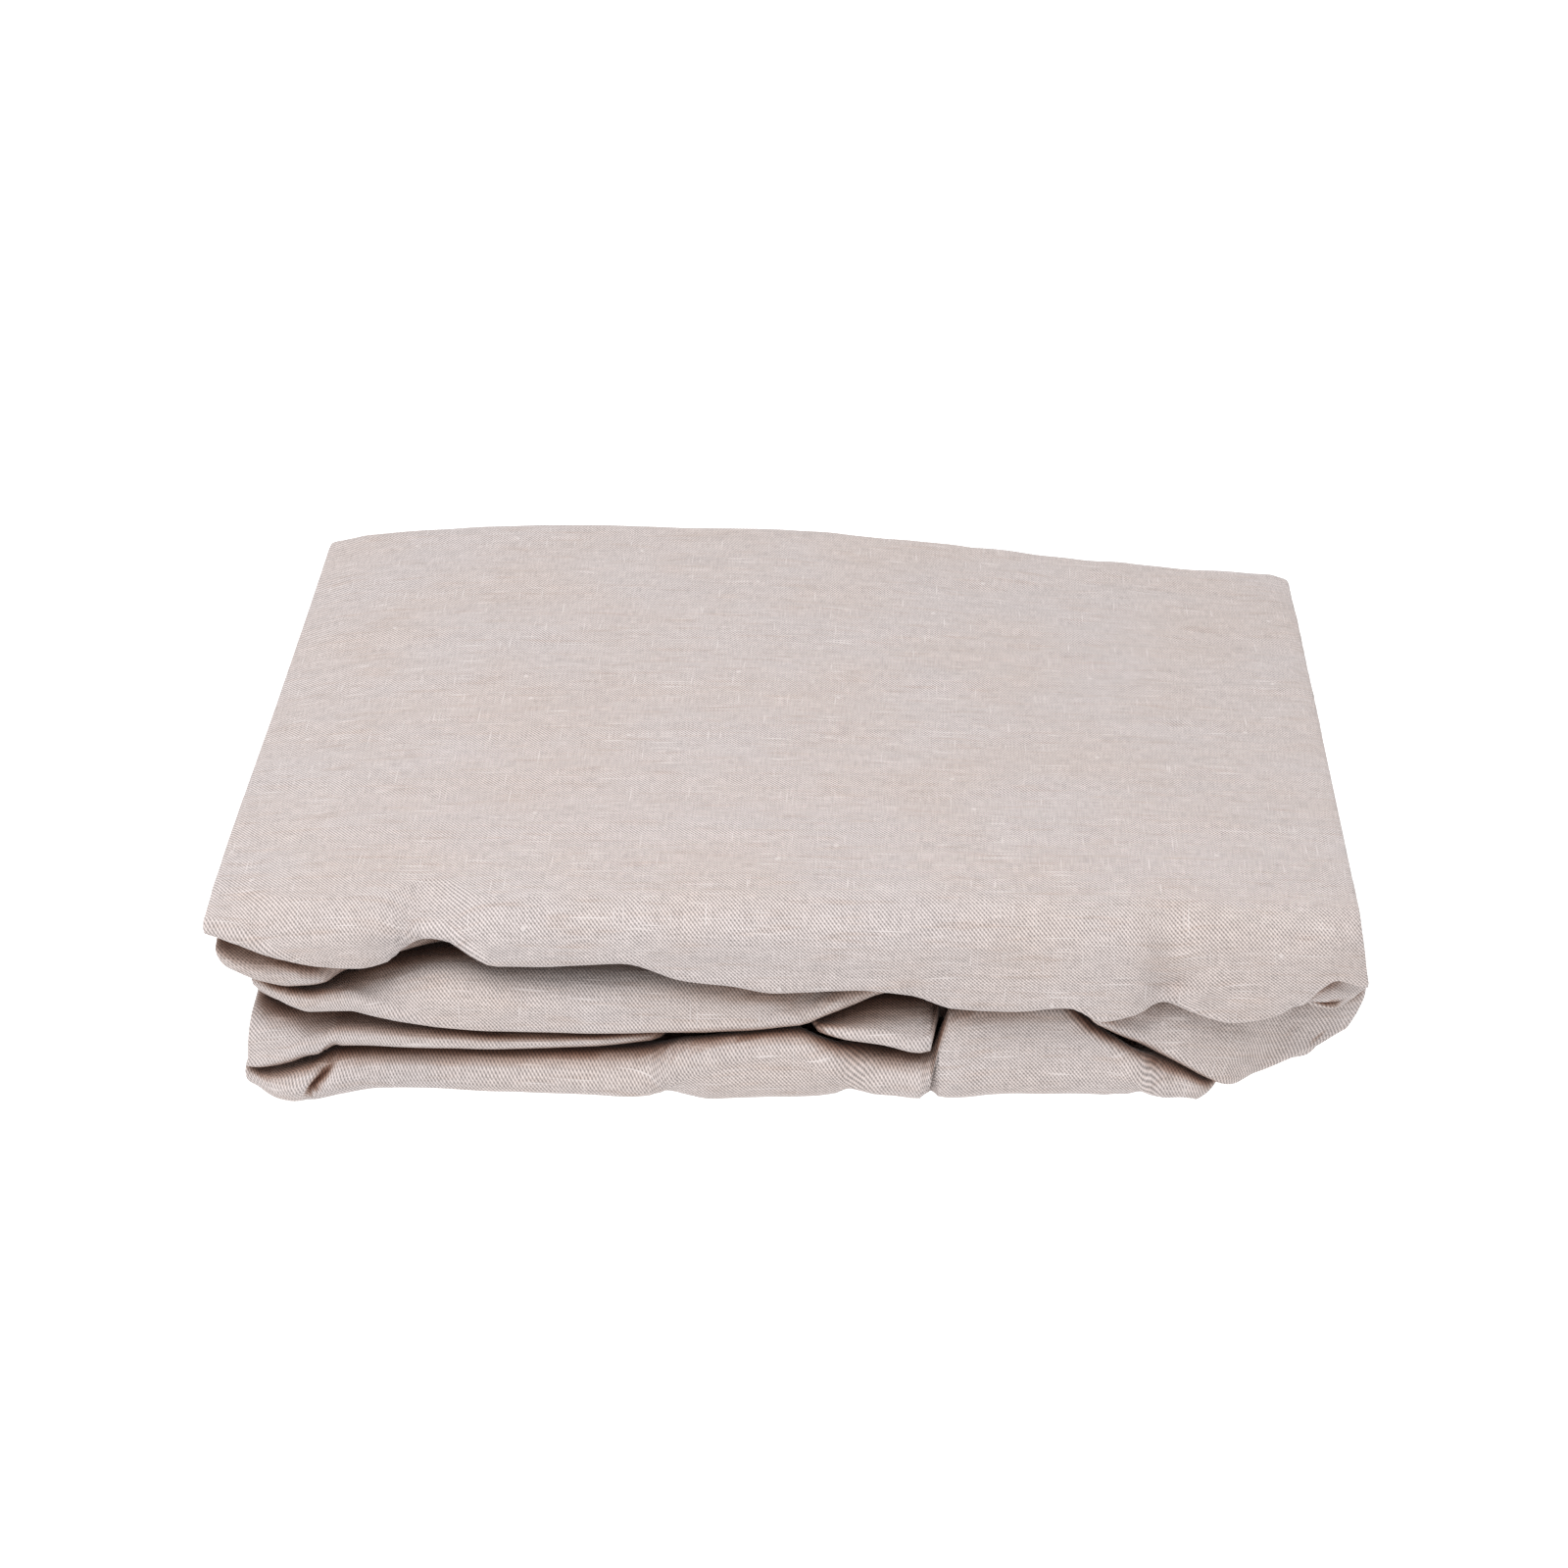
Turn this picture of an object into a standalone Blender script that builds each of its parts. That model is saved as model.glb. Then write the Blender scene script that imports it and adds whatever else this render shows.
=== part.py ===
"""A fitted bed sheet of washed linen, folded flat into a soft pack.

The sheet is one strip of cloth, already folded lengthwise to the width of the pack.
The strip is laid back and forth in ten layers, with five folds along the front, four
along the back, and its end hanging over the back as a flap.
Each fold along the front droops, rolls or stands up by its own amount along the width.

Axes: +X to the right along the front, +Y to the back, +Z up. Sizes in the tables are
millimetres, and the mesh is in metres.
"""

import math

import bmesh
import bpy
import numpy as np

# Driving sizes, in millimetres
WIDTH = 380.0
FRONT_Y = -130.0
BACK_Y = 146.0
LAYERS = 10
PITCH = 8.0
GAP = 1.1
FOLD_START_Y = -66.0
FLAP_CORNER = 12.0
FLAP_END_Z = 17.0
FLAP_END_HALF = 2.2
END_ROUND = 3.4
TURN_RISE = 14.0
KNEE_BACK = 10.0
KNEE_ROUND = 9.0
STANDING_REACH = 0.75
HANGING_REACH = 0.45
FLOOR_FACE = 1.0
MM = 0.001

# The share of a fold's thinning done by its start, before, at and after its knee, and at
# its tip, where the fold lies on the floor, stands up or hangs down
LYING_THINNING = np.array([0.0, 0.6, 0.8, 0.95, 1.0])
STANDING_THINNING = np.array([0.0, 0.05, 0.25, 0.6, 1.0])
HANGING_THINNING = np.array([0.0, 0.3, 0.55, 0.8, 1.0])

# Sections across the width, as the distance of each from the middle
SECTION_X = (
    -190.0, -187.5, -180.0, -173.0, -165.0, -158.0, -150.0, -128.0, -118.0, -108.0, -92.0,
    -62.0, -42.0, -14.0, 8.0, 16.0, 24.0, 36.0, 48.0, 52.0, 54.0, 58.0, 78.0, 98.0, 107.0,
    118.0, 129.0, 138.0, 143.0, 152.0, 168.0, 180.0, 187.5, 190.0,
)

# The folds along the front, from the lowest to the top one. Each row is one section:
# x, the front of the fold, its lip (the lowest point; the crest where a fold stands up),
# half the fold's thickness at the lip, how far it humps up before it turns, and how far
# the lip lies behind the turn (where the lowest fold leans back) or ahead of it.
FOLD_COLUMNS = ("x", "front", "lip", "half", "hump", "lean")
BOTTOM_FOLD = (
    (-190, -119, 8.6, 4, 0, 0),
    (-182, -125.5, 8.6, 4, 0, 0),
    (-176, -129.5, 10.4, 4.8, 0, 0),
    (-170, -131.2, 13, 6.2, 0, 0),
    (-164, -131, 15, 7.2, 0, 0),
    (-159, -130, 16.6, 8, 0, 0),
    (-153, -129, 18.2, 8.6, 0, 0),
    (-146, -127, 18.2, 8.6, 0, 0),
    (-138, -125.5, 18.2, 8.6, 0, 0),
    (-124, -125.2, 18.2, 8.6, 0, 0),
    (-100, -127, 18.4, 8.6, 0, 0),
    (-66, -130, 18.8, 8.6, 0, 0),
    (-50, -131.5, 19.2, 8.8, 0, 0),
    (-42, -132, 20.4, 8.8, 0, 0),
    (-32, -134.5, 24.2, 8.2, 0, 1),
    (-22, -137, 26.4, 7.6, 0, 2.5),
    (-14, -136, 27.2, 7, 0, 3),
    (2, -135, 28.2, 6.8, 0, 4),
    (8, -135, 27.8, 6.8, 0, 4),
    (12, -135.5, 26.2, 7, 0, 3),
    (19, -135.5, 23.6, 7.4, 0, 2),
    (27, -131.5, 20.6, 8.4, 0, 1),
    (36, -130, 18.4, 8.4, 0, 0),
    (47, -132.5, 18.8, 8.4, 0, 0),
    (51.6, -133.8, 20.8, 7.6, 0, 1),
    (54, -134.5, 25.5, 6.4, 0, 4),
    (56.5, -135, 34.5, 5, 0, 7.5),
    (60, -135.2, 36.6, 4.9, 0, 8.5),
    (64, -134.8, 37, 4.8, 0, 9),
    (72, -133.2, 37, 4.8, 0, 9),
    (95, -132.5, 37, 4.8, 0, 9),
    (99, -132.5, 34, 4.8, 0, 8),
    (107, -132.8, 28.4, 5, 0, 6),
    (114, -134, 24.4, 5.6, 0, 4),
    (119, -135.5, 21.6, 6.4, 0, 3),
    (124, -133, 18.6, 7, 0, 1),
    (129, -130.2, 15.8, 7.2, 0, 0),
    (138, -128.8, 11.6, 5.3, 0, 0),
    (143, -128.5, 9, 4.1, 0, 0),
    (148, -124.5, 6.2, 2.8, 0, 0),
    (152, -118.5, 4.4, 1.9, 0, 0),
    (156, -111, 4.4, 1.9, 0, 0),
    (163, -108, 9, 4.2, 0, 0),
    (172, -109, 15, 7.2, 0, 0),
    (190, -105, 15, 7.2, 0, 0),
)
THIN_FOLD = (
    (-190, -122, 10, 4, 0, 0),
    (-184, -124, 11, 4, 0, 0),
    (-174, -126, 14.4, 4, 0, 0),
    (-166, -126.5, 17.6, 4, 0, 0),
    (-160, -126.5, 18.4, 4, 0, 0),
    (-154, -126.5, 20.8, 4, 0, 0),
    (-150, -126, 20.8, 4, 0, 0),
    (-107, -126.5, 20.2, 3.6, 0, 0),
    (-92, -126.5, 20.2, 3, 0, 0),
    (-62, -126.5, 21.2, 2.4, 0, 0),
    (-41, -124.5, 22.8, 2.2, 0, 0),
    (-34, -116.5, 23, 3.2, 0, 0),
    (-27, -108, 21.6, 5, 0, 0),
    (-14, -102, 19, 6.4, 0, 0),
    (6, -102, 19, 6.4, 0, 0),
    (9, -106, 22.5, 4.8, 0, 0),
    (11.5, -121, 27.4, 1.6, 1.5, 0),
    (14, -125.5, 27.4, 1.7, 2.4, 0),
    (18, -127.5, 27, 2, 3, 0),
    (24, -129.5, 26.2, 2.6, 3, 0),
    (36, -131, 24.8, 3.1, 4, 0),
    (47, -132.5, 22.8, 3.2, 4, 0),
    (51, -132.5, 23.6, 3, 4, 0),
    (52.6, -129.5, 26.2, 2.8, 4, 0),
    (53.6, -120, 28, 3, 3, 0),
    (56, -112.5, 20.5, 5.2, 0, 0),
    (60, -111.5, 17.5, 6.6, 0, 0),
    (110, -110, 17, 6.8, 0, 0),
    (150, -108, 17, 6.8, 0, 0),
    (190, -103, 17, 6.8, 0, 0),
)
MIDDLE_FOLD = (
    (-190, -122, 43, 4.4, -1.5, 0),
    (-183, -125, 41, 4.2, -1.5, 0),
    (-175, -127, 38, 4, -1.5, 0),
    (-168, -128, 36.5, 4, -1.5, 0),
    (-150, -128.5, 36.6, 4, 0, 0),
    (-138, -128.5, 34.4, 4, 2, 0),
    (-111, -128.5, 29.8, 4, 4, 0),
    (-93, -128.5, 28.2, 4, 3, 0),
    (-59, -128.5, 27.4, 4, 1, 0),
    (-14, -128.5, 28.2, 4, 0, 0),
    (8, -128, 30.4, 4, 0, 0),
    (12, -127.6, 31.8, 4, 0, 0),
    (16, -127, 33.6, 4, 0, 0),
    (24, -125, 36, 4, 1, 0),
    (36, -122, 39.5, 3.8, 2, 0),
    (54, -120, 39.5, 3.8, 2, 0),
    (60, -112, 35, 6, 0, 0),
    (94, -111, 34, 6.4, 0, 0),
    (98, -117, 35, 5, 0, 4),
    (107, -126.5, 30.2, 3.8, 0, 9),
    (114, -126.5, 26.2, 3.8, 0, 9),
    (121, -126.5, 22.8, 3.8, 0, 9),
    (129, -127, 18.4, 3.8, 0, 9),
    (138, -127.5, 13.4, 3.8, 0, 9),
    (143, -127, 10.2, 3.8, 0, 9),
    (147, -126.5, 8.2, 3.8, 0, 9),
    (153, -125.6, 5.4, 3.8, 0, 9),
    (160, -122, 3.2, 3.6, 0, 8),
    (168, -117, 4.4, 3.4, 0, 5),
    (176, -116, 8.8, 3.3, 0, 4),
    (184, -115, 14, 3.2, 0, 3),
    (190, -113.5, 19.5, 3.2, 0, 2),
)
ROLL_FOLD = (
    (-190, -127.5, 52.7, 5.2, 2.5, 0),
    (-184, -128.5, 49.7, 5.2, 2.5, 0),
    (-176, -128.5, 47.4, 5.4, 1.5, 0),
    (-168, -128.5, 47.2, 5.2, 0.5, 0),
    (-160, -126.5, 46.9, 4.4, 0, 0),
    (-154, -123, 47.7, 4.6, 0, 0),
    (-150, -121.8, 48.3, 4.8, 0, 0),
    (-142, -121.4, 50.2, 4.8, 0, 0),
    (-134, -121, 52.4, 4.4, 0, 0),
    (-127, -119.5, 53.6, 4.2, 0, 0),
    (-120, -115, 52.6, 4.8, 0, 0),
    (-110, -110, 50.5, 6.2, 0, 0),
    (-60, -110, 50, 6.4, 0, 0),
    (150, -108, 49.5, 6.6, 0, 0),
    (160, -113, 47.5, 4.8, 0, 0),
    (166, -121.5, 41, 3.6, 0, 1),
    (172, -125, 38, 3.2, 0, 3.5),
    (178, -125, 37.2, 3, 0, 4),
    (184, -121.5, 38.5, 3, 0, 4),
    (190, -118, 41, 3, 0, 3),
)
TOP_FOLD = (
    (-190, -129, 69.5, 3.4, 0, 0),
    (-180, -130.5, 66.5, 3.8, 0, 0),
    (-168, -131, 60, 4.2, 0, 0),
    (-154, -131.5, 56, 4.4, 0, 0),
    (-140, -131.5, 55, 4.4, 0, 0),
    (-129, -130, 56.5, 4.4, 0, 0),
    (-122, -128, 60.5, 4.4, 0, 0),
    (-116, -126.5, 63.5, 4.4, 0, 0),
    (-108, -128, 63, 4.4, 0, 0),
    (-100, -130.5, 59, 4.4, 0, 0),
    (-92, -131.5, 55.5, 4.4, 0, 0),
    (-77, -131.5, 55.6, 4.4, 0, 0),
    (-51, -131.5, 56.8, 4.4, 0, 0),
    (-32, -131.5, 50.6, 4.4, 0, 0),
    (-16, -131.5, 48.4, 4.4, 0, 0),
    (0, -131.5, 45.4, 4.4, 0, 0),
    (26, -131.5, 46.4, 4.4, 0, 0),
    (45, -131.5, 44.4, 4.4, 0, 0),
    (52, -131.5, 41.6, 4.4, 0, 0),
    (58, -131.5, 39.4, 4.4, 0, 0),
    (76, -132, 38.8, 4.2, 0, 0),
    (97, -133, 41.2, 4, 0, 0),
    (108, -133, 36.2, 4, 0, 0),
    (118, -132.5, 38.4, 4, 0, 0),
    (128.5, -130, 42.4, 4, 0, 0),
    (138, -132.5, 39, 3.9, 0, 0),
    (148, -133.5, 36.2, 3.8, 0, 0),
    (156, -133.5, 38, 3.7, 0, 0),
    (168, -133, 44.6, 3.5, 0, 0),
    (174, -132.5, 50.5, 3.3, 0, 0),
    (180, -131.5, 54, 3.2, 0, 0),
    (184, -131, 52.5, 3.2, 0, 0),
    (187, -130.5, 51, 3.2, 0, 0),
    (190, -130, 50.8, 3.2, 0, 0),
)
FOLDS = (BOTTOM_FOLD, THIN_FOLD, MIDDLE_FOLD, ROLL_FOLD, TOP_FOLD)

# Where each fold along the back ends, from the lowest up
BACK_FOLDS_Y = (132.0, 136.0, 131.0, 134.5)

# The height of the pack, by section: at the front, the middle and the back
HEIGHT_COLUMNS = ("x", "front", "middle", "back")
HEIGHTS = (
    (-190, 77.0, 80.5, 86.5),
    (-150, 79.5, 83.5, 88.6),
    (-112, 80.0, 84.5, 90.0),
    (-19, 80.0, 85.0, 88.7),
    (38, 79.5, 84.0, 87.0),
    (72, 79.0, 82.5, 84.2),
    (117, 78.0, 81.0, 81.0),
    (150, 77.0, 79.5, 79.5),
    (190, 75.0, 77.8, 78.6),
)

# How far the back edge is drawn in from BACK_Y, by section
BACK_EDGE = (
    (-190, 6.0), (-175, 1.0), (-112, -1.5), (-19, -1.0), (38, 5.5), (72, 9.5),
    (117, 12.5), (150, 16.5), (184, 19.5), (190, 23.5),
)

# How far the ends of the layers are drawn in from the full width, by height
LEFT_END = (
    (0, 11.5), (8, 10.0), (14, 12.0), (20, 12.5), (30, 13.5), (38, 16.5), (48, 16.0), (53, 12.0),
    (59, 7.0), (66, 3.8), (72, 3.2), (80, 3.0),
)
RIGHT_END = (
    (0, 9.0), (12, 4.0), (20, -1.0), (30, -5.8), (38, -7.8), (46, -6.8), (52, -5.3), (66, -2.8), (80, -1.0),
)

# How far the back of the pack is pushed to the right of the front, at its middle and ends
SKEW_MIDDLE = 11.25
SKEW_ENDS = 4.25


def smoothstep(low, high, value):
    """0 below low, 1 above high, and a soft rise between them."""
    share = min(1.0, max(0.0, (value - low) / (high - low)))
    return share * share * (3.0 - 2.0 * share)


def read(rows, column, x):
    """The value in a column of a table at x, on a curve that doesn't overshoot its rows."""
    xs = [row[0] for row in rows]
    ys = [row[column] for row in rows]
    if x <= xs[0]:
        return ys[0]
    if x >= xs[-1]:
        return ys[-1]
    i = next(k for k in range(len(xs) - 1) if x <= xs[k + 1])
    slopes = [(ys[k + 1] - ys[k]) / (xs[k + 1] - xs[k]) for k in range(len(xs) - 1)]

    def tangent(k):
        if k == 0 or k == len(xs) - 1:
            return 0.0
        a, b = slopes[k - 1], slopes[k]
        return 2.0 * a * b / (a + b) if a * b > 0.0 else 0.0

    span = xs[i + 1] - xs[i]
    t = (x - xs[i]) / span
    rise = (ys[i + 1] - ys[i]) * t * t * (3.0 - 2.0 * t)
    return ys[i] + rise + span * t * (1.0 - t) * ((1.0 - t) * tangent(i) - t * tangent(i + 1))


def unit(vector):
    return vector / np.linalg.norm(vector)


def fold_spine(rank, x):
    """The line between the two layers of a front fold, from inside the pack to the lip.

    Each row has the place and half the fold's thickness there: at the start, before, at
    and after the knee where the fold turns down or up, and at the tip.
    """
    front, lip, half, hump, lean = (read(FOLDS[rank], column, x) for column in range(1, 6))
    level = (2 * rank + 1) * PITCH
    full = PITCH - GAP / 2
    start = np.array([FOLD_START_Y, level])
    if rank == 0:
        tip = np.array([front + half + lean, lip - half])
        bend = smoothstep(0.0, TURN_RISE, tip[1] - level)
        thinning = LYING_THINNING * (1.0 - bend) + STANDING_THINNING * bend
        knee = np.array([front + full, full + (half - full) * thinning[2] + GAP / 2])
    else:
        tip = np.array([front + half, lip + half])
        knee = np.array([tip[0] + lean, level + hump])
        bend = smoothstep(0.0, TURN_RISE, knee[1] - tip[1])
        thinning = HANGING_THINNING
    knee[0] = knee[0] * bend + (tip[0] + KNEE_BACK) * (1.0 - bend)
    share = STANDING_REACH if rank == 0 else HANGING_REACH
    turn = np.linalg.norm(tip - knee)
    reach = min(KNEE_ROUND, share * turn, HANGING_REACH * np.linalg.norm(knee - start))
    before = knee - reach * unit(knee - start)
    after = knee + reach * unit(tip - knee)
    middle = (before + 2 * knee + after) / 4
    places = (start, before, middle, after, tip)
    return [(p, full + (half - full) * share) for p, share in zip(places, thinning)], unit(tip - knee)


def front_fold(rank, x, turns):
    """Middle points of the cloth round a front fold, each with half the cloth's thickness."""
    spine, heading = fold_spine(rank, x)
    line = np.array([place for place, _ in spine])
    along = np.gradient(line, axis=0)
    along[0] = (-1.0, 0.0)
    along[-1] = heading
    lower, upper = [], []
    for (place, thick), way in zip(spine[:-1], along):
        up = unit(np.array([way[1], -way[0]]))
        off, cloth = (thick + GAP / 2) / 2, (thick - GAP / 2) / 2
        lower.append((*(place - up * off), cloth, True))
        upper.append((*(place + up * off), cloth, False))
    place, thick = spine[-1]
    up = np.array([heading[1], -heading[0]])
    off, cloth = (thick + GAP / 2) / 2, (thick - GAP / 2) / 2
    tip = []
    for a in turns:
        way = math.cos(a) * heading + math.sin(a) * up
        tip.append((*(place + way * off), cloth, a < 0.0))
    return lower + tip + upper[::-1]


def back_fold(rank, turns):
    """Middle points of the cloth round the back fold above layer pair rank."""
    level = 2 * (rank + 1) * PITCH
    off, cloth = PITCH / 2, (PITCH - GAP) / 2
    centre = BACK_FOLDS_Y[rank] - off - cloth
    return [(centre + off * math.cos(a), level + off * math.sin(a), cloth, a >= 0.0) for a in turns]


def flap(steps):
    """Middle points of the top layer's end, over the back edge and down to its hem."""
    cloth = (PITCH - GAP) / 2
    top = (LAYERS - 0.5) * PITCH
    back = BACK_Y - cloth + 0.8
    centre = np.array([back - FLAP_CORNER, top - FLAP_CORNER])
    points = []
    for step in range(steps):
        angle = math.radians(90.0) * (1.0 - step / (steps - 1))
        way = np.array([math.cos(angle), math.sin(angle)])
        points.append((*(centre + way * FLAP_CORNER), cloth - 0.8 * step / (steps - 1), False))
    for drop, inward in ((0.94, 1.6), (1.0, 1.6)):
        z = centre[1] + (FLAP_END_Z - centre[1]) * drop
        half = FLAP_END_HALF if drop > 0.9 else cloth - 1.1
        points.append((back + inward * 0.3, z, half * (0.45 if drop == 1.0 else 1.0), False))
    return points


def section(x):
    """Middle points of the whole strip in the section at x.

    Each is (y, z, half the cloth's thickness, whether the strip runs to the front there).
    """
    front_turns = [math.radians(a) for a in (-90, -45, 0, 45, 90)]
    back_turns = [math.radians(a) for a in (-90, 0, 90)]
    cloth = (PITCH - GAP) / 2
    path = [(BACK_Y - 19.0, PITCH / 2, cloth * 0.6, True), (BACK_Y - 22.0, PITCH / 2, cloth, True)]
    for rank in range(len(FOLDS)):
        path += front_fold(rank, x, front_turns)
        if rank < len(FOLDS) - 1:
            path += back_fold(rank, back_turns)
    top = (LAYERS - 0.5) * PITCH
    path += [(y, top, cloth, False) for y in (-40.0, 20.0, 80.0)]
    return path + flap(4)


def settle(x, y, z):
    """Moves a point of the even pack to where the real, uneven pack has it.

    Whatever is close to the surface that the pack rests on lies flat on it.
    """
    if z < FLOOR_FACE:
        z = GAP / 2
    share = min(1.0, max(0.0, (y - FRONT_Y) / (BACK_Y - FRONT_Y)))
    front, middle, back = (read(HEIGHTS, column, x) for column in (1, 2, 3))
    rest = 1.0 - share
    height = rest * rest * front + rest * share * (4 * middle - front - back) + share * share * back
    left = read(LEFT_END, 1, z) * (1.0 - 0.6 * share) * smoothstep(-110.0, -190.0, x)
    right = read(RIGHT_END, 1, z) * (1.0 - 0.5 * share) * smoothstep(120.0, 190.0, x)
    skew = share * (SKEW_MIDDLE - SKEW_ENDS * x / (WIDTH / 2))
    pull = smoothstep(0.1, 1.0, share)
    lift = (height / (LAYERS * PITCH) - 1.0) * smoothstep(FLOOR_FACE, PITCH, z)
    return (x + left - right + skew, y - read(BACK_EDGE, 1, x) * pull, z * (1.0 + lift))


def rounding(x):
    """The share of the cloth's thickness left near the ends of the layers, which are round."""
    inside = min(1.0, (WIDTH / 2 - abs(x)) / END_ROUND)
    return max(0.28, math.sqrt(1.0 - (1.0 - inside) ** 2))


def cloth_faces():
    """The two faces of the strip, as points in metres by section, face and place along it."""
    sections = []
    for x in SECTION_X:
        path = np.array(section(x))
        middle, half = path[:, :2], path[:, 2:3] * rounding(x)
        along = np.gradient(middle, axis=0)
        side = np.array([along[:, 1], -along[:, 0]]).T
        side /= np.linalg.norm(side, axis=1)[:, None]
        faces = (middle + side * half, middle - side * half)
        sections.append([[settle(x, y, z) for y, z in face] for face in faces])
    points = np.array(sections)
    points[..., 2] -= points[..., 2].min()
    low, high = points.min((0, 1, 2)), points.max((0, 1, 2))
    points[..., :2] -= (low[:2] + high[:2]) / 2
    return points * MM


def linen():
    """Washed linen, warm pale grey with a dusty pink cast."""
    material = bpy.data.materials.new("washed_linen")
    material.use_nodes = True
    shader = material.node_tree.nodes["Principled BSDF"]
    shader.inputs["Base Color"].default_value = (0.63, 0.52, 0.49, 1.0)
    shader.inputs["Roughness"].default_value = 0.9
    shader.inputs["Metallic"].default_value = 0.0
    return material


def fitted_sheet():
    """The strip as one closed solid: its two faces, its two hems and a cap at each end.

    Each patch is cut into triangles the same way on cloth that faces itself, so that
    layers that lie together stay apart.
    """
    runs_forward = [point[3] for point in section(0.0)]
    mesh = bmesh.new()
    rows = [[[mesh.verts.new(p) for p in face] for face in ends] for ends in cloth_faces()]
    last = len(runs_forward) - 1
    for near, far in zip(rows, rows[1:]):
        for place in range(last):
            a, b = (place, place + 1) if runs_forward[place] else (place + 1, place)
            for face in (0, 1):
                mesh.faces.new((near[face][a], near[face][b], far[face][b]))
                mesh.faces.new((near[face][a], far[face][b], far[face][a]))
        for place in (0, last):
            mesh.faces.new((near[0][place], near[1][place], far[1][place], far[0][place]))
    for front_face, back_face in (rows[0], rows[-1]):
        for place in range(last):
            corners = (front_face[place], front_face[place + 1], back_face[place + 1], back_face[place])
            mesh.faces.new(corners)
    bmesh.ops.recalc_face_normals(mesh, faces=mesh.faces)
    bmesh.ops.triangulate(mesh, faces=mesh.faces)
    data = bpy.data.meshes.new("fitted_sheet")
    mesh.to_mesh(data)
    mesh.free()
    data.shade_smooth()
    data.materials.append(linen())
    body = bpy.data.objects.new("fitted_sheet", data)
    bpy.context.scene.collection.objects.link(body)
    return body


def main():
    for thing in list(bpy.data.objects):
        bpy.data.objects.remove(thing)
    fitted_sheet()


main()
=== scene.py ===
"""A fitted bed sheet of washed linen, folded flat into a soft pack, on a white sweep.

The sheet is one strip of cloth, laid back and forth in ten layers, with five folds along
the front and four along the back. It lies on the folds of the solid that it stands for,
with its weave, wrinkles and creases added.
Sizes in the tables are millimetres, as on a pattern, and the mesh is in metres.
"""

import math

import bmesh
import bpy
import numpy as np
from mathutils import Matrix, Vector, noise
from mathutils.bvhtree import BVHTree


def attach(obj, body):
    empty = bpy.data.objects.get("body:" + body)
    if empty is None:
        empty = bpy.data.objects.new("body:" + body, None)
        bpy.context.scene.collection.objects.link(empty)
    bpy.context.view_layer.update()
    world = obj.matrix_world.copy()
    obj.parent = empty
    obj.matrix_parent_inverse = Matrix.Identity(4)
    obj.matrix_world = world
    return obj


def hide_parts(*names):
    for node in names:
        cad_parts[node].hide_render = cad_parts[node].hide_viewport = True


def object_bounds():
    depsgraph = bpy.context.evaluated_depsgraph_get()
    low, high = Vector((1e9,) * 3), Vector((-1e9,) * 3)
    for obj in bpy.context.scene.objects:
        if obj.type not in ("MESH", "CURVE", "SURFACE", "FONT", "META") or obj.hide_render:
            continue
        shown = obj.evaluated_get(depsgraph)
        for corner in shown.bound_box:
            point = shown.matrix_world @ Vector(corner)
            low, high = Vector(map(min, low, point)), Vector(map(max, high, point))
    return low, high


bl_info = {
    "name": "Folded Linen Sheet",
    "version": (1, 0, 0),
    "blender": (4, 5, 0),
    "location": "3D View > Sidebar > Linen",
    "description": "Makes a folded linen fitted sheet and the white sweep it lies on",
    "category": "Add Mesh",
}

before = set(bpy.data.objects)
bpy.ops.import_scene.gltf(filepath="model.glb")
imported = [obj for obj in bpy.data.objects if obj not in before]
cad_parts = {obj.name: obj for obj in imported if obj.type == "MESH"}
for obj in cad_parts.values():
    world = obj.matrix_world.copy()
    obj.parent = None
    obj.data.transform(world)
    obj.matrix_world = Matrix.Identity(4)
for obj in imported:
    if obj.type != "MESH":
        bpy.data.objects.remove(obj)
SOLID_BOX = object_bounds()
MM = 0.001

# Driving sizes of the pack, in millimetres
WIDTH = 380.0
FRONT_Y = -130.0
BACK_Y = 146.0
LAYERS = 10
PITCH = 8.0
GAP = 1.1
FOLD_START_Y = -66.0
FLAP_CORNER = 12.0
FLAP_END_Z = 17.0
FLAP_END_HALF = 2.2
FLAP_THINNER = 0.8
HEM_ROUND = 0.8
END_ROUND = 3.4
TURN_RISE = 14.0
KNEE_BACK = 10.0
KNEE_ROUND = 9.0
STANDING_REACH = 0.75
HANGING_REACH = 0.45
FLOOR_FACE = 1.0

# The share of a fold's thinning done by its start, before, at and after its knee, and at
# its tip, where the fold lies on the floor, stands up or hangs down
LYING_THINNING = (0.0, 0.6, 0.8, 0.95, 1.0)
STANDING_THINNING = (0.0, 0.05, 0.25, 0.6, 1.0)
HANGING_THINNING = (0.0, 0.3, 0.55, 0.8, 1.0)

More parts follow.
